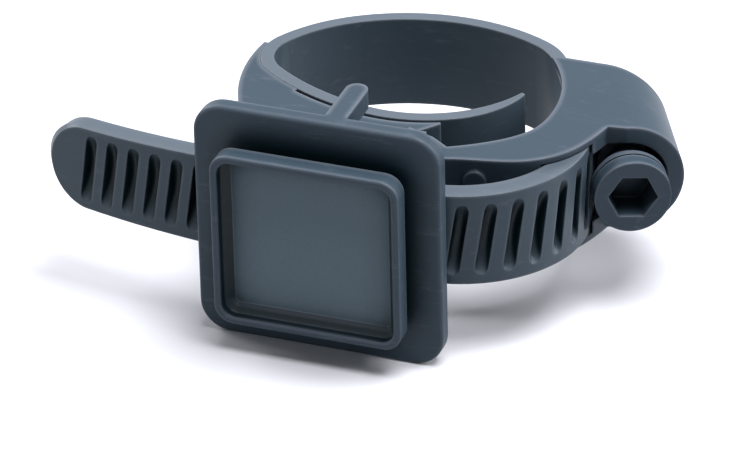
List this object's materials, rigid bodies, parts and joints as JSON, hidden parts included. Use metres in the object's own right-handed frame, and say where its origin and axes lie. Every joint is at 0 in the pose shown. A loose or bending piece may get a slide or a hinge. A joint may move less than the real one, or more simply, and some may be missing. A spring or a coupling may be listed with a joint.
{
  "type": "handlebar bag mount",
  "caption": "Handlebar clamp with a worm-driven ladder strap and a square quick-release plate that carries a bag.",
  "frame": {"origin": "middle of the strap loop, halfway up the strap's width, where the handlebar's axis passes", "axes": "+Z along the handlebar, -Y out through the bag plate, +X towards the worm head"},
  "size_m": [0.0711, 0.0482, 0.0296],
  "materials": {
    "body_nylon": "satin moulded dark slate nylon",
    "strap_nylon": "satin moulded dark slate nylon",
    "screw_nylon": "satin moulded dark slate nylon"
  },
  "bodies": {
    "mount": {"mount_body": "body_nylon", "strap": "strap_nylon"},
    "screw": {"worm_screw": "screw_nylon"}
  },
  "joints": [
    {"name": "screw_turn", "type": "hinge", "parent": "mount", "child": "screw", "pos_m": [0.02035, 0.00744, 0], "axis": [0.454, -0.891, 0], "continuous": true}
  ]
}
